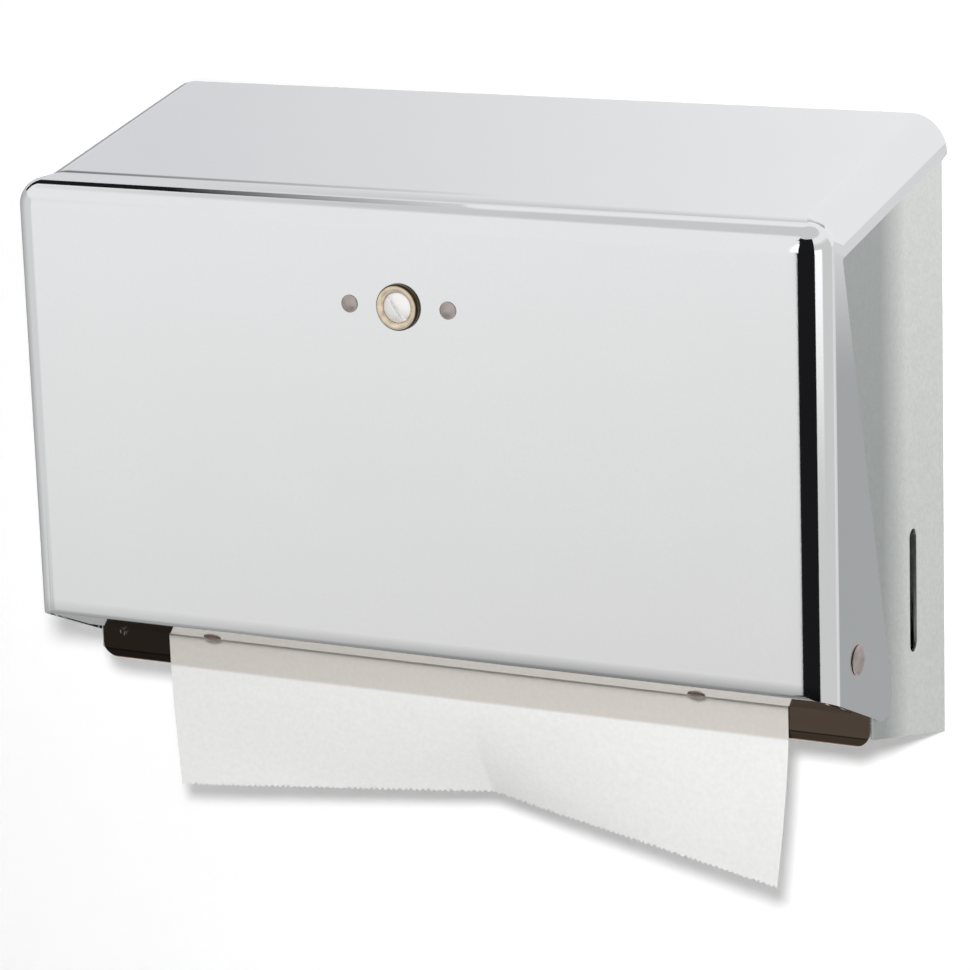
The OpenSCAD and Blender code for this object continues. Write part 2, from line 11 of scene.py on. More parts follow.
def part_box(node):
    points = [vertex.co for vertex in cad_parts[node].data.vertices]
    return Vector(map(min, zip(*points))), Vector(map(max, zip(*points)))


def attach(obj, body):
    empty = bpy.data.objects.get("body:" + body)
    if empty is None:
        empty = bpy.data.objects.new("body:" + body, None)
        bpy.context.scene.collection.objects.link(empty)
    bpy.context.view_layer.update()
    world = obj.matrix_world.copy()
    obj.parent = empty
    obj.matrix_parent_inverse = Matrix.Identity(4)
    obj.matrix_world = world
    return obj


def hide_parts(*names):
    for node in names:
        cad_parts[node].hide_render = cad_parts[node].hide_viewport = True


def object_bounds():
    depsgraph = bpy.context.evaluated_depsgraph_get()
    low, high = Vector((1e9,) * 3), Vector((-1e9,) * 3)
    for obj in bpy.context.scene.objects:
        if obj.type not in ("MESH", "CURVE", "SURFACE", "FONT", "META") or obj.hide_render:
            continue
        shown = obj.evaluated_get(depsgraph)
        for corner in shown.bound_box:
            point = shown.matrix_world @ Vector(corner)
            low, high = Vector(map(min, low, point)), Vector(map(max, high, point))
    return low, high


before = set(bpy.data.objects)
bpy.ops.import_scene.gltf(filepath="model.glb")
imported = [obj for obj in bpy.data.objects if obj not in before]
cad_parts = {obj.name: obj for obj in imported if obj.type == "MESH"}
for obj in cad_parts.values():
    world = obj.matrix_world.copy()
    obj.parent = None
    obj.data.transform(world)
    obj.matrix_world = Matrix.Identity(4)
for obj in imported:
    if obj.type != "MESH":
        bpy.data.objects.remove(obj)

bl_info = {
    "name": "Paper Towel Dispenser",
    "version": (1, 0, 0),
    "blender": (4, 5, 0),
    "location": "View3D > Sidebar > Dispenser",
    "description": "Dresses a chrome-plated towel dispenser with its finishes, paper and studio",
    "category": "Object",
}

MM = 0.001
CAD_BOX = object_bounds()
SHELF_LOW, SHELF_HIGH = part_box("towel_shelf")
LEAF_LOW, LEAF_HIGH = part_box("hanging_towel")
PACK_LOW, PACK_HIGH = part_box("towel_pack")
COVER_LOW, COVER_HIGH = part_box("cover_shell")
FRONT_FOOT = -61.5 * MM      # height at which the front face meets its lower fold
FRONT_BEND = 8.5 * MM        # radius of the bends round the front face


def linear(hex_colour, alpha=1.0):
    """Linear RGBA of an sRGB hex colour."""
    channels = [int(hex_colour[i:i + 2], 16) / 255 for i in (1, 3, 5)]
    return tuple(c / 12.92 if c <= 0.04045 else ((c + 0.055) / 1.055) ** 2.4 for c in channels) + (alpha,)


def colour_property(name, hex_colour, description):
    """Colour property whose default is an sRGB hex colour."""
    return FloatVectorProperty(name=name, description=description, subtype="COLOR", size=4, min=0, max=1,
                               default=linear(hex_colour))


def length_property(name, millimetres, description):
    """Length property in metres, given in millimetres."""
    return FloatProperty(name=name, description=description, subtype="DISTANCE", unit="LENGTH", min=0,
                         default=millimetres * MM, precision=5)


class MetalFinish(bpy.types.PropertyGroup):
    """Colours and surface values of the metal pieces."""
    chrome: colour_property("Chrome", "#E5E6E7", "Chrome plate over polished sheet")
    chrome_roughness: FloatProperty(name="Chrome roughness", default=0.07, min=0, max=1,
                                    description="Blur of the plated sheet's reflections")
    crease: length_property("Crease", 15.5, "Distance of the top's crease behind the front face")
    # Painted shade: height of the darker band above the front's lower fold.
    painted_fold_shade_band: length_property("Dull band", 4.5, "Height of the dull band above the front's lower fold")
    galvanised: colour_property("Galvanised", "#F4F7F3", "Hot-dip zinc on the cabinet's sheet")
    spangle: length_property("Spangle", 1.1, "Width of a zinc crystal")
    lip: colour_property("Lip", "#52473E", "Dark oiled sheet of the shelf and its lip")
    hem: length_property("Hem", 2.9, "Height of the lip's lower band")
    oiled_rivet: colour_property("Oiled rivet", "#776861", "Guide rivets, dark with oil")
    rivet: colour_property("Rivet", "#AEA39F", "Bare steel of the rivets, slightly warm")
    bush: colour_property("Bush", "#DCCCB6", "Yellow passivated zinc of the lock ring")
    plug: colour_property("Plug", "#FDFBF9", "Pale die-cast lock plug")
    # Painted shade round the lock ring's outer edge; this is its width.
    painted_rim_shade: length_property("Tarnish", 0.7, "Width of the lock ring's dark rim")
    edge: length_property("Cut edge", 0.2, "Rounding of a sheet's cut edges")


class PaperFinish(bpy.types.PropertyGroup):
    """Sizes and colour of the paper."""
    paper: colour_property("Paper", "#E3E3E1", "Bleached tissue")
    leaf: length_property("Leaf thickness", 0.3, "Thickness of the hanging leaf")
    ply: length_property("Ply", 0.42, "Thickness of one folded layer in the pack")
    tooth_pitch: length_property("Tooth pitch", 2.0, "Width of a tooth of the torn edge")
    tooth_height: length_property("Tooth height", 0.9, "Height of a tooth of the torn edge")
    crepe: length_property("Crepe", 0.55, "Spacing of the tissue's crepe lines")


class StudioSettings(bpy.types.PropertyGroup):
    """Camera, light and backdrop."""
    aim: FloatVectorProperty(name="Aim", description="Point the camera looks at", subtype="TRANSLATION",
                             default=(0.00232, -0.05, -0.01823))
    distance: FloatProperty(name="Distance", description="Camera's distance from its aim", min=0.1,
                            subtype="DISTANCE", unit="LENGTH", default=1.2969)
    yaw: FloatProperty(name="Yaw", description="How far the camera stands to the right", subtype="ANGLE",
                       default=math.radians(28.11))
    pitch: FloatProperty(name="Pitch", description="How far the camera looks down", subtype="ANGLE",
                         default=math.radians(13.88))
    roll: FloatProperty(name="Roll", description="Turn of the camera about its own axis", subtype="ANGLE",
                        default=math.radians(-1.92))
    lens: FloatProperty(name="Lens", description="Focal length in millimetres", default=150.33, min=1)
    ambient: FloatProperty(name="Ambient", description="Strength of the soft light from all round",
                           default=0.30, min=0)
    key: FloatProperty(name="Key", description="Power of the key lamp in watts", default=13.1, min=0)
    backdrop: colour_property("Backdrop", "#FFFFFF", "Colour of wall and floor")


def activate(*pieces):
    """Makes these the only selected objects, the first one active."""
    if bpy.context.object and bpy.context.object.mode != "OBJECT":
        bpy.ops.object.mode_set(mode="OBJECT")
    bpy.ops.object.select_all(action="DESELECT")
    for piece in pieces:
        piece.select_set(True)
    bpy.context.view_layer.objects.active = pieces[0]


def apply_modifier(piece, kind, **settings):
    """Adds a modifier with its settings and applies it."""
    activate(piece)
    modifier = piece.modifiers.new(kind.title(), kind)
    for key, value in settings.items():
        setattr(modifier, key, value)
    bpy.ops.object.modifier_apply(modifier=modifier.name)


def settle(piece):
    """Moves a piece's place, turn and scale into its mesh."""
    activate(piece)
    bpy.ops.object.transform_apply(location=True, rotation=True, scale=True)


def smooth(piece, degrees=35):
    """Smooth shading that keeps flat faces flat and sharp edges sharp."""
    activate(piece)
    bpy.ops.object.shade_smooth_by_angle(angle=math.radians(degrees))
    apply_modifier(piece, "WEIGHTED_NORMAL", keep_sharp=True, weight=100)


def paint(piece, material):
    """Gives a piece its only material."""
    piece.data.materials.clear()
    piece.data.materials.append(material)


def dressed_copy(node, name, edge, degrees=35):
    """Merged copy of a CAD node with rounded cut edges and smooth bends."""
    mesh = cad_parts[node].data.copy()
    mesh.name = name
    piece = bpy.data.objects.new(name, mesh)
    bpy.context.scene.collection.objects.link(piece)
    activate(piece)
    bpy.ops.mesh.customdata_custom_splitnormals_clear()
    bpy.ops.object.mode_set(mode="EDIT")
    bpy.ops.mesh.select_all(action="SELECT")
    bpy.ops.mesh.remove_doubles(threshold=0.002 * MM)
    bpy.ops.mesh.dissolve_limited(angle_limit=math.radians(0.4))
    bpy.ops.object.mode_set(mode="OBJECT")
    if edge:
        apply_modifier(piece, "BEVEL", width=edge, segments=2, limit_method="ANGLE",
                       angle_limit=math.radians(50), harden_normals=False)
    smooth(piece, degrees)
    return piece


def add_node(tree, kind, values=None, links=None, **settings):
    """Adds one shader node with its settings, socket values and incoming links."""
    node = tree.nodes.new(kind)
    for key, value in settings.items():
        setattr(node, key, value)
    for socket, value in (values or {}).items():
        node.inputs[socket].default_value = value
    for socket, source in (links or {}).items():
        tree.links.new(source, node.inputs[socket])
    return node


def new_material(name):
    """Material with an empty tree, its object coordinates and its principled shader."""
    material = bpy.data.materials.new(name)
    material.use_nodes = True
    tree = material.node_tree
    tree.nodes.clear()
    place = add_node(tree, "ShaderNodeTexCoord").outputs["Object"]
    shader = add_node(tree, "ShaderNodeBsdfPrincipled")
    add_node(tree, "ShaderNodeOutputMaterial", links={"Surface": shader.outputs["BSDF"]})
    return material, tree, place, shader


def pattern(tree, place, size_mm, stretch=(1, 1, 1), detail=3.0):
    """Noise whose blotches are about size_mm wide, stretched along the axes."""
    mapped = add_node(tree, "ShaderNodeMapping", {"Scale": [1 / s for s in stretch]}, {"Vector": place})
    return add_node(tree, "ShaderNodeTexNoise", {"Scale": 1 / (size_mm * MM), "Detail": detail},
                    {"Vector": mapped.outputs["Vector"]}).outputs["Fac"]


def spread(tree, value, low, high, start=0.3, stop=0.7):
    """Maps a value that runs from start to stop onto low to high."""
    return add_node(tree, "ShaderNodeMapRange",
                    {"From Min": start, "From Max": stop, "To Min": low, "To Max": high},
                    {"Value": value}).outputs["Result"]


def tint(tree, value, first, second):
    """Blend of two colours by a value from 0 to 1."""
    blend = add_node(tree, "ShaderNodeMix", data_type="RGBA", links={"Factor": value})
    for socket, colour in ((6, first), (7, second)):
        blend.inputs[socket].default_value = colour
    return blend.outputs[2]


def shade(colour, factor):
    """The colour made darker or lighter by a factor."""
    return tuple(min(1, c * factor) for c in colour[:3]) + (1,)


def bump(tree, shader, height, strength, depth_mm):
    """Fine relief of that depth on the shader's normal."""
    relief = add_node(tree, "ShaderNodeBump", {"Strength": strength, "Distance": depth_mm * MM},
                      {"Height": height})
    tree.links.new(relief.outputs["Normal"], shader.inputs["Normal"])


def multiply(tree, *values):
    """Product of the values."""
    result = values[0]
    for value in values[1:]:
        result = add_node(tree, "ShaderNodeMath", operation="MULTIPLY",
                          links={0: result, 1: value}).outputs[0]
    return result


def within(tree, value, low, high, soft):
    """1 between low and high, and falling to 0 over soft beyond them."""
    return multiply(tree, spread(tree, value, 0, 1, low - soft, low),
                    spread(tree, value, 1, 0, high, high + soft))


def along(tree, place):
    """The X, Y and Z outputs of a position or direction."""
    return add_node(tree, "ShaderNodeSeparateXYZ", links={"Vector": place}).outputs


def darken(tree, colour, mask, hex_colour):
    """The colour multiplied by another where the mask is 1."""
    blend = add_node(tree, "ShaderNodeMix", data_type="RGBA", blend_type="MULTIPLY",
                     links={"Factor": mask, 6: colour})
    blend.inputs[7].default_value = linear(hex_colour)
    return blend.outputs[2]


def chrome_plated_sheet(finish):
    """Chrome plate on cold-rolled sheet: near-mirror bends with a faint orange peel.

    Painted shade darkens a line along the top's crease, most of it on the left, and a band of the front above
    its lower fold.
    """
    material, tree, place, shader = new_material("chrome_plated_sheet")
    colour = tuple(finish.chrome)
    clouds = pattern(tree, place, 38)
    peel = pattern(tree, place, 0.8, detail=2)
    axes = along(tree, place)
    crease_y, front_y = COVER_LOW.y + finish.crease, COVER_LOW.y
    # Painted shade: a dark line along the top's crease, strongest on the left.
    crease = multiply(tree, within(tree, axes["Y"], crease_y - 0.5 * MM, crease_y + 0.5 * MM, 0.9 * MM),
                      within(tree, axes["Z"], 75 * MM, 100 * MM, 2 * MM),
                      spread(tree, axes["X"], 0.92, 0, -128 * MM, 30 * MM))
    # Painted shade: the front darkens towards its lower fold, less towards the left.
    painted_fold_shade = multiply(tree, spread(tree, axes["Z"], 1, 0, FRONT_FOOT, FRONT_FOOT + finish.painted_fold_shade_band),
                    spread(tree, axes["Y"], 1, 0, front_y + 1.2 * MM, front_y + 1.8 * MM),
                    spread(tree, axes["X"], 0.45, 1, -120 * MM, 50 * MM))
    base = tint(tree, multiply(tree, clouds, peel), shade(colour, 0.97), shade(colour, 1.03))
    base = darken(tree, base, painted_fold_shade, "#B2B2B3")
    tree.links.new(darken(tree, base, crease, "#3A3A3C"), shader.inputs["Base Color"])
    tree.links.new(spread(tree, clouds, finish.chrome_roughness * 0.85, finish.chrome_roughness * 1.15),
                   shader.inputs["Roughness"])
    shader.inputs["Metallic"].default_value = 1
    bump(tree, shader, peel, 0.22, 0.012)
    return material


def galvanised_sheet(finish, name="galvanised_sheet"):
    """Hot-dip galvanised steel: a matt zinc skin of small crystals, each with its own grey."""
    material, tree, place, shader = new_material(name)
    colour = tuple(finish.galvanised)
    crystal = add_node(tree, "ShaderNodeTexVoronoi", {"Scale": 1 / finish.spangle, "Randomness": 1},
                       {"Vector": place}).outputs["Color"]
    grey = add_node(tree, "ShaderNodeSeparateColor", links={"Color": crystal}).outputs["Red"]
    fine = pattern(tree, place, 0.6, detail=2)
    mixed = add_node(tree, "ShaderNodeMath", operation="MULTIPLY_ADD", values={1: 0.5},
                     links={0: grey, 2: spread(tree, fine, 0, 0.5)}).outputs[0]
    base = tint(tree, mixed, shade(colour, 0.92), shade(colour, 1.06))
    # Painted shade: the zinc beside the cover's skirts is darker.
    painted_skirt_shade = spread(tree, along(tree, place)["Y"], 1, 0, -52 * MM, -32 * MM)
    tree.links.new(darken(tree, base, painted_skirt_shade, "#C2C4C4"), shader.inputs["Base Color"])
    tree.links.new(spread(tree, mixed, 0.30, 0.40, 0, 1), shader.inputs["Roughness"])
    shader.inputs["Metallic"].default_value = 1
    bump(tree, shader, mixed, 0.1, 0.02)
    return material


def dark_oiled_sheet(finish):
    """Dark brown oiled sheet with a soft gloss, a pale orange line along its lower edge and a pale scratch at
    the lip's left end; painted shade darkens the left part, the lower band and the fold.
    """
    material, tree, place, shader = new_material("dark_oiled_sheet")
    colour = tuple(finish.lip)
    clouds = pattern(tree, place, 12, (3, 1, 1))
    axes = along(tree, place)
    base = tint(tree, clouds, shade(colour, 0.85), shade(colour, 1.2))
    # Painted shade: darker towards the left, where the cover shades the lip.
    base = darken(tree, base, spread(tree, axes["X"], 1, 0, -110 * MM, 100 * MM), "#8A8A8A")
    fold = SHELF_LOW.z + finish.hem
    # Painted shade: the lower band below the fold is a little darker, with a dark line along the fold.
    base = darken(tree, base, spread(tree, axes["Z"], 1, 0, fold - 0.2 * MM, fold), "#E2DFDC")
    base = darken(tree, base, within(tree, axes["Z"], fold - 0.1 * MM, fold + 0.1 * MM, 0.25 * MM), "#8C8C8C")
    near = add_node(tree, "ShaderNodeVectorMath", operation="DISTANCE", links={0: place}, values={
        1: Vector((SHELF_LOW.x + 8 * MM, SHELF_LOW.y, fold + 7 * MM))})
    scratch = pattern(tree, place, 0.4, (1, 1, 6), 1)
    mask = multiply(tree, spread(tree, scratch, 0, 1, 0.60, 0.66),
                    spread(tree, near.outputs["Value"], 1, 0, 1.4 * MM, 2.2 * MM))
    rim = spread(tree, axes["Z"], 1, 0, SHELF_LOW.z + 0.15 * MM, SHELF_LOW.z + 0.35 * MM)
    for part, worn in ((mask, "#9A958A"), (rim, "#C79A7C")):
        blend = add_node(tree, "ShaderNodeMix", data_type="RGBA", links={"Factor": part, 6: base})
        blend.inputs[7].default_value = linear(worn)
        base = blend.outputs[2]
    tree.links.new(base, shader.inputs["Base Color"])
    shader.inputs["Metallic"].default_value = 1
    shader.inputs["Roughness"].default_value = 0.3
    bump(tree, shader, clouds, 0.08, 0.05)
    return material


def worn_metal(name, colour, roughness, blotch_mm, contrast=0.14, rim=None):
    """Small turned or cast metal piece with handling marks; rim gives the node and width of a dark edge of
    painted shade.
    """
    material, tree, place, shader = new_material(name)
    marks = pattern(tree, place, blotch_mm)
    base = tint(tree, spread(tree, marks, 0, 1), shade(colour, 1 - contrast), shade(colour, 1 + contrast))
    if rim:
        low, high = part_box(rim[0])
        centre, radius = (low + high) / 2, (high.x - low.x) / 2
        facing = add_node(tree, "ShaderNodeVectorMath", {1: (1, 0, 1)}, {0: place}, operation="MULTIPLY")
        away = add_node(tree, "ShaderNodeVectorMath", {1: (centre.x, 0, centre.z)},
                        {0: facing.outputs["Vector"]}, operation="DISTANCE").outputs["Value"]
        # Painted shade: a dark band round the outside of the lock ring.
        base = darken(tree, base, spread(tree, away, 0, 1, radius - rim[1], radius - rim[1] / 2), "#4A4438")
    tree.links.new(base, shader.inputs["Base Color"])
    tree.links.new(spread(tree, marks, roughness * 0.8, roughness * 1.25), shader.inputs["Roughness"])
    shader.inputs["Metallic"].default_value = 1
    bump(tree, shader, pattern(tree, place, 0.35, detail=2), 0.1, 0.02)
    return material


def bleached_tissue(finish):
    """Creped tissue paper: matt white, with crepe lines and cloudy fibre; painted shade darkens it where the
    dark lip lies behind.
    """
    material, tree, place, shader = new_material("bleached_tissue")
    colour = tuple(finish.paper)
    crepe = pattern(tree, place, finish.crepe / MM, (1, 1, 5), 2)
    fibre = pattern(tree, place, 1.6, detail=4)
    height = add_node(tree, "ShaderNodeMath", operation="ADD", links={0: crepe, 1: fibre}).outputs[0]
    cloud = tint(tree, spread(tree, fibre, 0, 1), shade(colour, 0.965), shade(colour, 1.02))
    # Painted shade: the leaf is darker where it hangs over the dark lip.
    painted_lip_shade = spread(tree, along(tree, place)["Z"], 0, 1, SHELF_LOW.z - 0.6 * MM, SHELF_LOW.z + 0.4 * MM)
    tree.links.new(darken(tree, cloud, painted_lip_shade, "#DFDAD5"), shader.inputs["Base Color"])
    shader.inputs["Roughness"].default_value = 0.9
    shader.inputs["Specular IOR Level"].default_value = 0.2
    shader.inputs["Sheen Weight"].default_value = 0.15
    bump(tree, shader, height, 0.35, 0.12)
    return material


class DISPENSER_OT_cover(bpy.types.Operator):
    """Dress the chrome-plated cover with its rounded edges"""
    bl_idname = "dispenser.cover"
    bl_label = "Cover"

    def execute(self, context):
        finish = context.scene.dispenser_metal
        piece = dressed_copy("cover_shell", "cover_skin", finish.edge)
        paint(piece, chrome_plated_sheet(finish))
        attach(piece, "cover")
        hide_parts("cover_shell")
        return {"FINISHED"}


class DISPENSER_OT_cabinet(bpy.types.Operator):
    """Dress the galvanised cabinet, its latch rail and the dark shelf"""
    bl_idname = "dispenser.cabinet"
    bl_label = "Cabinet"

    def execute(self, context):
        finish = context.scene.dispenser_metal
        zinc = galvanised_sheet(finish)
        for node, name, material, slot in (
            ("cabinet_shell", "cabinet_skin", zinc, "galvanised"),
            ("latch_rail", "latch_rail_skin", zinc, "galvanised"),
            ("towel_shelf", "towel_shelf_skin", dark_oiled_sheet(finish), "lip_steel"),
        ):
            piece = dressed_copy(node, name, finish.edge)
            paint(piece, material)
            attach(piece, "cabinet")
            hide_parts(node)
        return {"FINISHED"}


class DISPENSER_OT_rivets(bpy.types.Operator):
    """Dress the hinge, lock and guide rivets and the strips that they hold"""
    bl_idname = "dispenser.rivets"
    bl_label = "Rivets and strips"

    def execute(self, context):
        finish = context.scene.dispenser_metal
        steel = worn_metal("bare_rivet_steel", tuple(finish.rivet), 0.32, 2.2)
        oiled = worn_metal("oiled_rivet_steel", tuple(finish.oiled_rivet), 0.3, 2.2)
        zinc = galvanised_sheet(finish, "galvanised_strip")
        for node, body, material, slot, edge in (
            ("hinge_rivets", "cabinet", steel, "rivet_steel", 0.25),
            ("lock_rivets", "cover", steel, "rivet_steel", 0.15),
            ("guide_rivets", "cover", oiled, "rivet_steel", 0.15),
            ("lock_plate", "cover", zinc, "galvanised", 0.15),
            ("throat_guide", "cover", zinc, "galvanised", 0.15),
        ):
            piece = dressed_copy(node, node + "_skin", edge * MM)
            paint(piece, material)
            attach(piece, body)
            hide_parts(node)
        return {"FINISHED"}


class DISPENSER_OT_lock(bpy.types.Operator):
    """Dress the lock's ring, plug, cam, washer and screw"""
    bl_idname = "dispenser.lock"
    bl_label = "Lock"

    RECESS_DEPTH = 0.8 * MM      # depth of the cam screw's cross recess
    RECESS_WIDTH = 0.8 * MM      # width of each arm of the recess

    def execute(self, context):
        finish = context.scene.dispenser_metal
        gold = worn_metal("yellow_passivated_zinc", tuple(finish.bush), 0.28, 3.0, 0.2,
                          ("lock_bush", finish.painted_rim_shade))
        pale = worn_metal("die_cast_plug", tuple(finish.plug), 0.42, 4.0, 0.05)
        bright = worn_metal("bright_zinc_plate", linear("#C9CCCE"), 0.28, 4.0)
        for node, body, material, slot, edge in (
            ("lock_bush", "cover", gold, "zinc_yellow", 0.12),
            ("lock_plug", "lock", pale, "plug_white", 0.12),
            ("lock_cam", "lock", bright, "galvanised", 0.2),
            ("cam_washer", "lock", gold, "zinc_yellow", 0.12),
            ("cam_screw", "lock", bright, "rivet_steel", 0.12),
        ):
            piece = dressed_copy(node, node + "_skin", edge * MM)
            if node == "cam_screw":
                self.cut_cross(piece)
            paint(piece, material)
            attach(piece, body)
            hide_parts(node)
        return {"FINISHED"}

    def cut_cross(self, piece):
        """Cuts the cross recess into the cam screw's head."""
        low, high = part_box("cam_screw")
        centre = Vector(((low.x + high.x) / 2, high.y, (low.z + high.z) / 2))
        blade = (high.x - low.x) * 0.55
        for turn in (0, math.pi / 2):
            activate(piece)
            bpy.ops.mesh.primitive_cube_add(size=1, location=centre, rotation=(0, turn, 0))
            cutter = bpy.context.object
            cutter.scale = (blade, 2 * self.RECESS_DEPTH, self.RECESS_WIDTH)
            settle(cutter)
            apply_modifier(piece, "BOOLEAN", object=cutter, operation="DIFFERENCE", solver="EXACT")
            bpy.data.objects.remove(cutter)


class DISPENSER_OT_pack(bpy.types.Operator):
    """Stack the folded towels that are left on the shelf"""
    bl_idname = "dispenser.pack"
    bl_label = "Towel pack"

    TRIM = (3.0 * MM, 3.2 * MM)      # how much narrower and shallower a towel is than the pack's solid
    FOLD_STEP = 1.2 * MM             # how far every other towel's fold stands back
    SLIP = (0.8 * MM, 0.5 * MM)      # how far a towel may lie out of line, across and in depth

    def execute(self, context):
        finish = context.scene.dispenser_paper
        shuffle = Random(11)
        size = PACK_HIGH - PACK_LOW
        count = int(size.z / finish.ply)
        layers = []
        for i in range(count):
            z = PACK_LOW.z + (i + 0.5) * size.z / count
            depth = size.y - self.TRIM[1] - (i % 2) * self.FOLD_STEP
            slip_x, slip_y = (shuffle.uniform(-1, 1) * slip for slip in self.SLIP)
            centre = ((PACK_LOW.x + PACK_HIGH.x) / 2 + slip_x, (PACK_LOW.y + PACK_HIGH.y) / 2 + slip_y, z)
            layers.append(self.folded_towel(centre, size.x - self.TRIM[0], depth, finish.ply * 0.92))
        activate(*layers)
        bpy.ops.object.join()
        piece = bpy.context.object
        piece.name = "towel_stack"
        smooth(piece, 50)
        paint(piece, bleached_tissue(finish))
        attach(piece, "cabinet")
        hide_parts("towel_pack")
        return {"FINISHED"}

    def folded_towel(self, centre, width, depth, thickness):
        """One flat folded towel with round folds at front and back."""
        bpy.ops.object.select_all(action="DESELECT")
        bpy.ops.mesh.primitive_cube_add(size=1, location=centre)
        piece = bpy.context.object
        piece.scale = (width, depth, thickness)
        settle(piece)
        bpy.ops.object.mode_set(mode="EDIT")
        bpy.ops.mesh.select_all(action="DESELECT")
        mesh = bmesh.from_edit_mesh(piece.data)
        for edge in mesh.edges:
            across = abs(edge.verts[0].co.x - edge.verts[1].co.x) > width / 2
            edge.select_set(across)
        bmesh.update_edit_mesh(piece.data)
        bpy.ops.mesh.bevel(offset=thickness * 0.49, segments=4, profile=0.5)
        bpy.ops.object.mode_set(mode="OBJECT")
        return piece


class DISPENSER_OT_leaf(bpy.types.Operator):
    """Hang the torn leaf over the shelf's front edge"""
    bl_idname = "dispenser.leaf"
    bl_label = "Hanging leaf"

    LIFT = 0.35 * MM       # gap between leaf and metal
    BEND = 1.5 * MM        # radius of the shelf's front bend
    RUN_IN = 3 * MM        # level stretch on the shelf
    CREASE_BACK = 15.8 * MM      # how far the foot of the middle crease stands behind the lip
    LEFT_BACK = 2.8 * MM         # the same for the lower left corner
    RIGHT_FRONT = 10.2 * MM      # how far the lower right corner stands in front of the lip
    LEFT_DROP = 7.2 * MM         # how far the torn edge falls from the crease to the left corner
    RIGHT_DROP = 9.4 * MM        # the same to the right corner
    CREASE_Z = -122.5 * MM       # height of the torn edge at the crease
    TRIM = 0.4 * MM              # how much narrower the leaf is than its solid
    RIPPLE = 2.0 * MM            # depth of the slow waves in the free part
    STIFF = 0.35                 # share of the length that stays flat
    ROWS = 44

    def path(self, u, t):
        """Point of the leaf at u across (-1 to 1) and t along it (0 to 1), as (y, z)."""
        lip_y = SHELF_LOW.y
        floor_z = SHELF_HIGH.z
        radius = self.BEND + self.LIFT
        arc = radius * math.pi / 2
        drop = self.LEFT_DROP if u < 0 else self.RIGHT_DROP
        low_z = self.CREASE_Z - abs(u) * drop
        fall = floor_z - self.BEND - low_z
        s = t * (self.RUN_IN + arc + fall)
        if s < self.RUN_IN:
            return lip_y + self.BEND + self.RUN_IN - s, floor_z + self.LIFT
        if s < self.RUN_IN + arc:
            a = (s - self.RUN_IN) / radius
            return lip_y + self.BEND - radius * math.sin(a), floor_z - self.BEND + radius * math.cos(a)
        down = s - self.RUN_IN - arc
        hem = floor_z - self.BEND - SHELF_LOW.z
        free = max(0.0, (down - hem) / (fall - hem))
        side = self.CREASE_BACK - self.LEFT_BACK if u < 0 else -self.CREASE_BACK - self.RIGHT_FRONT
        shift = self.CREASE_BACK + u * side
        return lip_y - self.LIFT + shift * free ** 1.4, floor_z - self.BEND - down

    def execute(self, context):
        finish = context.scene.dispenser_paper
        width = LEAF_HIGH.x - LEAF_LOW.x - self.TRIM
        teeth = round(width / finish.tooth_pitch)
        columns = 2 * teeth
        bpy.ops.object.select_all(action="DESELECT")
        bpy.ops.mesh.primitive_grid_add(x_subdivisions=columns, y_subdivisions=self.ROWS, size=2)
        piece = bpy.context.object
        piece.name = "torn_leaf"
        shuffle = Random(5)
        tips = [shuffle.uniform(0.55, 1.0) * finish.tooth_height for _ in range(columns + 1)]
        jog = [shuffle.uniform(-0.22, 0.22) * finish.tooth_pitch for _ in range(columns + 1)]
        for vertex in piece.data.vertices:
            u = vertex.co.x
            t = (1 - vertex.co.y) / 2
            column = round((u + 1) / 2 * columns)
            y, z = self.path(u, t)
            x = u * width / 2
            free = max(0.0, t - self.STIFF)
            y += noise.noise(Vector((x * 22, t * 2.2, 3.7))) * self.RIPPLE * free
            last = t > 1 - 0.5 / self.ROWS
            if last:
                z += tips[column] * (1 if column % 2 else -0.12) - 0.4 * finish.tooth_height
                if 0 < column < columns:
                    x += jog[column]
            vertex.co = (x, y, z)
        apply_modifier(piece, "SOLIDIFY", thickness=finish.leaf, offset=0)
        smooth(piece, 60)
        paint(piece, bleached_tissue(finish))
        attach(piece, "cabinet")
        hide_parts("hanging_towel")
        return {"FINISHED"}


# What the plated sheet mirrors, as (coordinate limits with their softness, colour). Azimuth runs from the
# front to the right and elevation up, both in degrees; pitch turns about the X axis from the back up, and
# side is the direction's own X.
ROOM = (
    ({"elevation": (60, 91, 6)}, (0.72, 0.72, 0.73)),
    ({"azimuth": (-60, -14, 10), "elevation": (-24, -18, 8)}, (0.83, 0.83, 0.81)),
    ({"azimuth": (-180, -46, 12), "elevation": (-70, 20, 8)}, (0.79, 0.79, 0.79)),
    ({"azimuth": (-180, -128, 58), "elevation": (-70, 20, 8)}, (0.38, 0.38, 0.38)),
    ({"azimuth": (-75, 10, 10), "elevation": (-56, -26, 3)}, (0.60, 0.61, 0.62)),
    ({"azimuth": (42, 126, 6), "elevation": (-40, 26, 12)}, (0.73, 0.73, 0.72)),
    ({"azimuth": (138, 172, 12), "elevation": (-40, 3, 2)}, (0.81, 0.81, 0.82)),
    ({"azimuth": (150, 164, 5), "elevation": (-40, -12.3, 1.8)}, (0.45, 0.46, 0.46)),
    ({"pitch": (14, 42, 3), "side": (-0.80, -0.53, 0.16)}, (0.80, 0.80, 0.82)),
    ({"azimuth": (44, 76, 4), "elevation": (-11, 8, 3)}, (1.3, 1.3, 1.3)),
)
FLAG_BLACK = (0.012, 0.012, 0.013, 1)
FLAG_GREY = (0.74, 0.74, 0.75, 1)
WINDOW_WHITE = (1.4, 1.4, 1.4, 1)
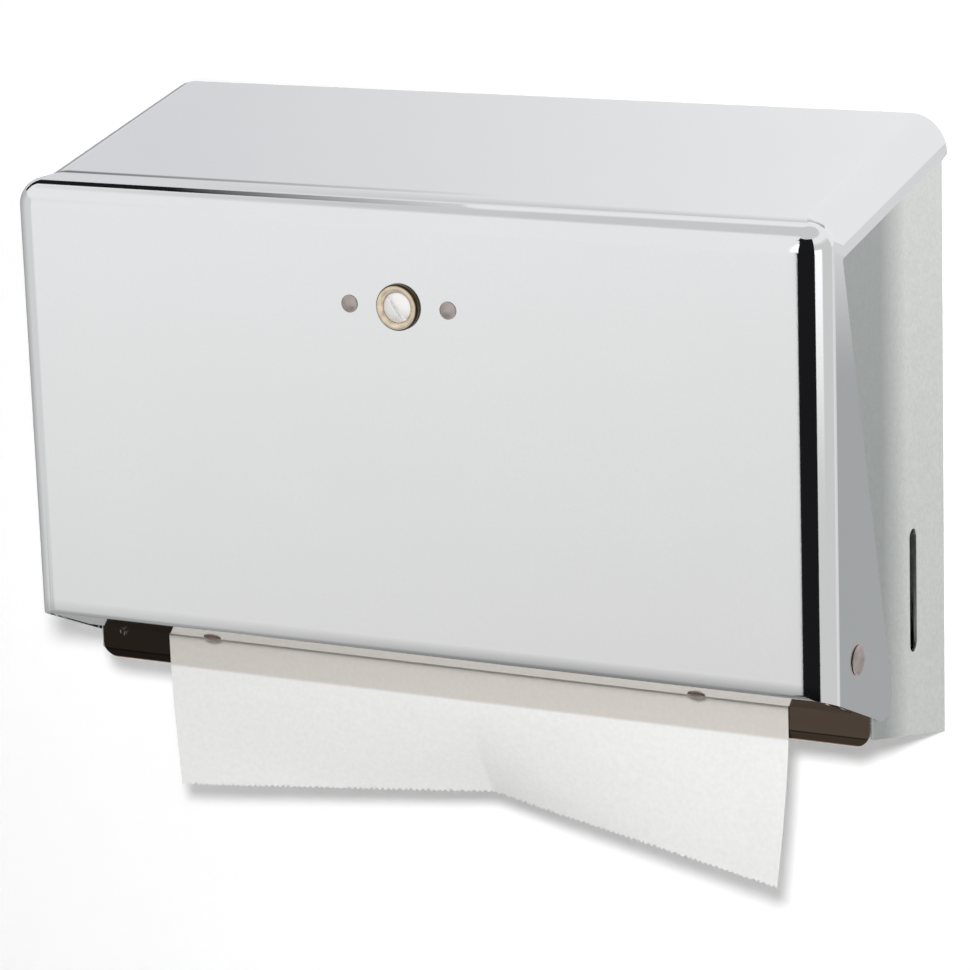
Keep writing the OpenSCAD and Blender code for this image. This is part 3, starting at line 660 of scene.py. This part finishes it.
# The cards round the right-hand bend: radius, azimuth limits in degrees, height limits and colour.
BEND_CARDS = {
    "edge_flag": (40 * MM, -18.8, 44.8, -76.6 * MM, 127 * MM, FLAG_BLACK),
    "corner_flag": (40 * MM, -27.3, -16.9, 107.8 * MM, 127 * MM, FLAG_BLACK),
    "corner_window": (39 * MM, -21.5, -14, 73.6 * MM, 96.8 * MM, WINDOW_WHITE),
}
# The sloping flag over the cover: limits in X, and its (Y, Z) at the rear and at the front.
UPPER_FLAG_X = (-0.62, -0.09)
UPPER_FLAG_EDGES = ((0.062, 0.228), (-0.035, 0.300))
UPPER_FLAG_FADE = (-0.215, -0.10)


def mirrored_room(tree, walls):
    """Colour of the room in each direction, as the plated sheet mirrors it."""
    way = along(tree, add_node(tree, "ShaderNodeTexCoord").outputs["Generated"])
    front = add_node(tree, "ShaderNodeMath", {1: -1}, {0: way["Y"]}, operation="MULTIPLY").outputs[0]
    angles = {
        "azimuth": add_node(tree, "ShaderNodeMath", links={0: way["X"], 1: front}, operation="ARCTAN2"),
        "elevation": add_node(tree, "ShaderNodeMath", links={0: way["Z"]}, operation="ARCSINE"),
        "pitch": add_node(tree, "ShaderNodeMath", links={0: way["Z"], 1: way["Y"]}, operation="ARCTAN2"),
    }
    measures = {name: add_node(tree, "ShaderNodeMath", {1: math.degrees(1)}, {0: node.outputs[0]},
                               operation="MULTIPLY").outputs[0] for name, node in angles.items()}
    measures["side"] = way["X"]
    colour = None
    for limits, level in ROOM:
        mask = multiply(tree, *(within(tree, measures[name], *limit) for name, limit in limits.items()))
        blend = add_node(tree, "ShaderNodeMix", {6: walls, 7: (*level, 1)}, {"Factor": mask}, data_type="RGBA")
        if colour:
            tree.links.new(colour, blend.inputs[6])
        colour = blend.outputs[2]
    return colour


def stage_plane(name, centre, size, turn=(0, 0, 0)):
    """Flat plane of the stage."""
    bpy.ops.object.select_all(action="DESELECT")
    bpy.ops.mesh.primitive_plane_add(size=1, location=centre, rotation=turn)
    plane = bpy.context.object
    plane.name = name
    plane.scale = (*size, 1)
    return plane


def near_card(name, corners, colour, fade=None):
    """Card of one row of faces that only reflections see; fade is the X range over which it turns grey."""
    mesh = bpy.data.meshes.new(name)
    faces = [(2 * i, 2 * i + 1, 2 * i + 3, 2 * i + 2) for i in range(len(corners) // 2 - 1)]
    mesh.from_pydata(corners, [], faces)
    card = bpy.data.objects.new(name, mesh)
    bpy.context.scene.collection.objects.link(card)
    for ray in ("camera", "diffuse", "transmission", "shadow", "volume_scatter"):
        setattr(card, "visible_" + ray, False)
    material = bpy.data.materials.new(name + "_face")
    material.use_nodes = True
    tree = material.node_tree
    tree.nodes.clear()
    face = add_node(tree, "ShaderNodeEmission", {"Color": colour})
    if fade:
        across = along(tree, add_node(tree, "ShaderNodeTexCoord").outputs["Object"])["X"]
        tree.links.new(tint(tree, spread(tree, across, 0, 1, *fade), colour, FLAG_GREY), face.inputs["Color"])
    add_node(tree, "ShaderNodeOutputMaterial", links={"Surface": face.outputs["Emission"]})
    paint(card, material)


def round_card(name, radius, az_from, az_to, low, high, colour):
    """Upright card on a cylinder about the right-hand bend's axis; azimuths are from the front to the right."""
    axis_x, axis_y = COVER_HIGH.x - FRONT_BEND, COVER_LOW.y + FRONT_BEND
    count = 16
    turns = [math.radians(az_from + (az_to - az_from) * i / count) for i in range(count + 1)]
    near_card(name, [(axis_x + radius * math.sin(a), axis_y - radius * math.cos(a), z)
                     for a in turns for z in (low, high)], colour)


class DISPENSER_OT_studio(bpy.types.Operator):
    """Set up room, floor, backdrop, flags, lamps and camera"""
    bl_idname = "dispenser.studio"
    bl_label = "Studio"

    FLOOR_SIZE = (12, 12)
    FLOOR_DROP = 0.32                  # how far the floor lies below the part
    FLOOR_GLOW = 0.75                  # lift of the floor's colour for the camera
    WALL_SIZE = (1.4, 1.1)
    WALL_GAP = 1 * MM                  # gap between the part's back and the wall
    WALL_GLOW = 0.1                    # lift of the wall's colour for the camera
    KEY_SIZE = 0.10                    # diameter of the key lamp
    KEY_PLACE = (-0.04, 0.095, 0)      # the key lamp's place beside and above the camera

    def execute(self, context):
        settings = context.scene.dispenser_studio
        self.room(context.scene, settings)
        self.floor(settings)
        self.backdrop(settings)
        self.flags()
        camera = self.camera(context.scene, settings)
        self.lamps(settings, camera)
        return {"FINISHED"}

    def room(self, scene, settings):
        """White to the camera, the studio's walls to reflections, and a soft even light to all else."""
        world = bpy.data.worlds.new("soft_room")
        scene.world = world
        world.use_nodes = True
        tree = world.node_tree
        tree.nodes.clear()
        walls = tuple(settings.backdrop)
        path = add_node(tree, "ShaderNodeLightPath").outputs
        seen = add_node(tree, "ShaderNodeMath", operation="MAXIMUM",
                        links={0: path["Is Camera Ray"], 1: path["Is Transmission Ray"]}).outputs[0]
        first = add_node(tree, "ShaderNodeMath", operation="MAXIMUM",
                         links={0: seen, 1: path["Is Glossy Ray"]}).outputs[0]
        colour = add_node(tree, "ShaderNodeMix", {6: walls}, {"Factor": path["Is Glossy Ray"]},
                          data_type="RGBA")
        tree.links.new(mirrored_room(tree, walls), colour.inputs[7])
        sky = add_node(tree, "ShaderNodeBackground", links={
            "Color": colour.outputs[2], "Strength": spread(tree, first, settings.ambient, 1, 0, 1)})
        add_node(tree, "ShaderNodeOutputWorld", links={"Surface": sky.outputs["Background"]})

    def pale_surface(self, name, settings, glow):
        """Matt white that keeps the object's shadow, lifted a little for the camera and open from behind."""
        material = bpy.data.materials.new(name)
        material.use_nodes = True
        tree = material.node_tree
        tree.nodes.clear()
        matt = add_node(tree, "ShaderNodeBsdfDiffuse", {"Color": shade(tuple(settings.backdrop), 0.98)})
        path = add_node(tree, "ShaderNodeLightPath").outputs
        lift = add_node(tree, "ShaderNodeEmission", {"Color": settings.backdrop},
                        {"Strength": spread(tree, path["Is Camera Ray"], 0, glow, 0, 1)})
        face = add_node(tree, "ShaderNodeAddShader",
                        links={0: matt.outputs["BSDF"], 1: lift.outputs["Emission"]})
        behind = add_node(tree, "ShaderNodeNewGeometry").outputs["Backfacing"]
        clear = add_node(tree, "ShaderNodeBsdfTransparent")
        sheet = add_node(tree, "ShaderNodeMixShader",
                         links={0: behind, 1: face.outputs["Shader"], 2: clear.outputs["BSDF"]})
        add_node(tree, "ShaderNodeOutputMaterial", links={"Surface": sheet.outputs["Shader"]})
        return material

    def floor(self, settings):
        """Pale floor below the part."""
        floor = stage_plane("studio_floor", (0, 0, CAD_BOX[0][2] - self.FLOOR_DROP), self.FLOOR_SIZE)
        floor.visible_glossy = False
        paint(floor, self.pale_surface("pale_floor", settings, self.FLOOR_GLOW))

    def backdrop(self, settings):
        """Pale wall that the dispenser hangs on."""
        wall = stage_plane("studio_wall", (0, self.WALL_GAP, 0), self.WALL_SIZE, (math.pi / 2, 0, 0))
        for ray in ("diffuse", "glossy", "transmission", "shadow", "volume_scatter"):
            setattr(wall, "visible_" + ray, False)
        paint(wall, self.pale_surface("pale_wall", settings, self.WALL_GLOW))

    def flags(self):
        """Flags and a small window close to the cover's right-hand bend, and a flag over its upper bend."""
        for name, values in BEND_CARDS.items():
            round_card(name, *values)
        near_card("upper_flag", [(x, *edge) for x in UPPER_FLAG_X for edge in UPPER_FLAG_EDGES], FLAG_BLACK,
                  UPPER_FLAG_FADE)

    def lamps(self, settings, camera):
        """Key lamp above and left of the camera, which throws the soft shadow below each lower edge."""
        lamp = bpy.data.lights.new("key_lamp", "AREA")
        lamp.shape = "DISK"
        lamp.size = self.KEY_SIZE
        lamp.energy = settings.key
        lamp_object = bpy.data.objects.new("key_lamp", lamp)
        bpy.context.scene.collection.objects.link(lamp_object)
        lamp_object.matrix_world = camera.matrix_world @ Matrix.Translation(self.KEY_PLACE)
        lamp_object.visible_glossy = False

    def camera(self, scene, settings):
        """Camera at the photograph's viewing angle."""
        turn, dip, roll = settings.yaw, settings.pitch, settings.roll
        ahead = Vector((-math.sin(turn) * math.cos(dip), math.cos(turn) * math.cos(dip), -math.sin(dip)))
        level = Vector((math.cos(turn), math.sin(turn), 0))
        upright = level.cross(ahead)
        right = level * math.cos(roll) + upright * math.sin(roll)
        up = upright * math.cos(roll) - level * math.sin(roll)
        data = bpy.data.cameras.new("photo_camera")
        data.lens = settings.lens
        data.sensor_width = 36
        data.clip_end = 50
        camera = bpy.data.objects.new("photo_camera", data)
        scene.collection.objects.link(camera)
        axes = Matrix((right, up, -ahead)).transposed().to_4x4()
        camera.matrix_world = Matrix.Translation(Vector(settings.aim) - ahead * settings.distance) @ axes
        scene.camera = camera
        scene.view_settings.view_transform = "Standard"
        return camera


class DISPENSER_PT_panel(bpy.types.Panel):
    """Sidebar panel with the settings and the steps"""
    bl_idname = "DISPENSER_PT_panel"
    bl_label = "Towel Dispenser"
    bl_space_type = "VIEW_3D"
    bl_region_type = "UI"
    bl_category = "Dispenser"

    def draw(self, context):
        layout = self.layout
        for group in (context.scene.dispenser_metal, context.scene.dispenser_paper,
                      context.scene.dispenser_studio):
            box = layout.box()
            for name in group.__annotations__:
                box.prop(group, name)
        for operator in STEPS:
            layout.operator(operator.bl_idname)


STEPS = (DISPENSER_OT_studio, DISPENSER_OT_cabinet, DISPENSER_OT_cover, DISPENSER_OT_rivets,
         DISPENSER_OT_lock, DISPENSER_OT_pack, DISPENSER_OT_leaf)
GROUPS = {"dispenser_metal": MetalFinish, "dispenser_paper": PaperFinish, "dispenser_studio": StudioSettings}
CLASSES = (*GROUPS.values(), *STEPS, DISPENSER_PT_panel)


def register():
    for cls in CLASSES:
        bpy.utils.register_class(cls)
    for name, group in GROUPS.items():
        setattr(bpy.types.Scene, name, PointerProperty(type=group))


def unregister():
    for name in GROUPS:
        delattr(bpy.types.Scene, name)
    for cls in reversed(CLASSES):
        bpy.utils.unregister_class(cls)


def main():
    register()
    for operator in STEPS:
        family, action = operator.bl_idname.split(".")
        getattr(getattr(bpy.ops, family), action)()


if __name__ == "__main__":
    main()
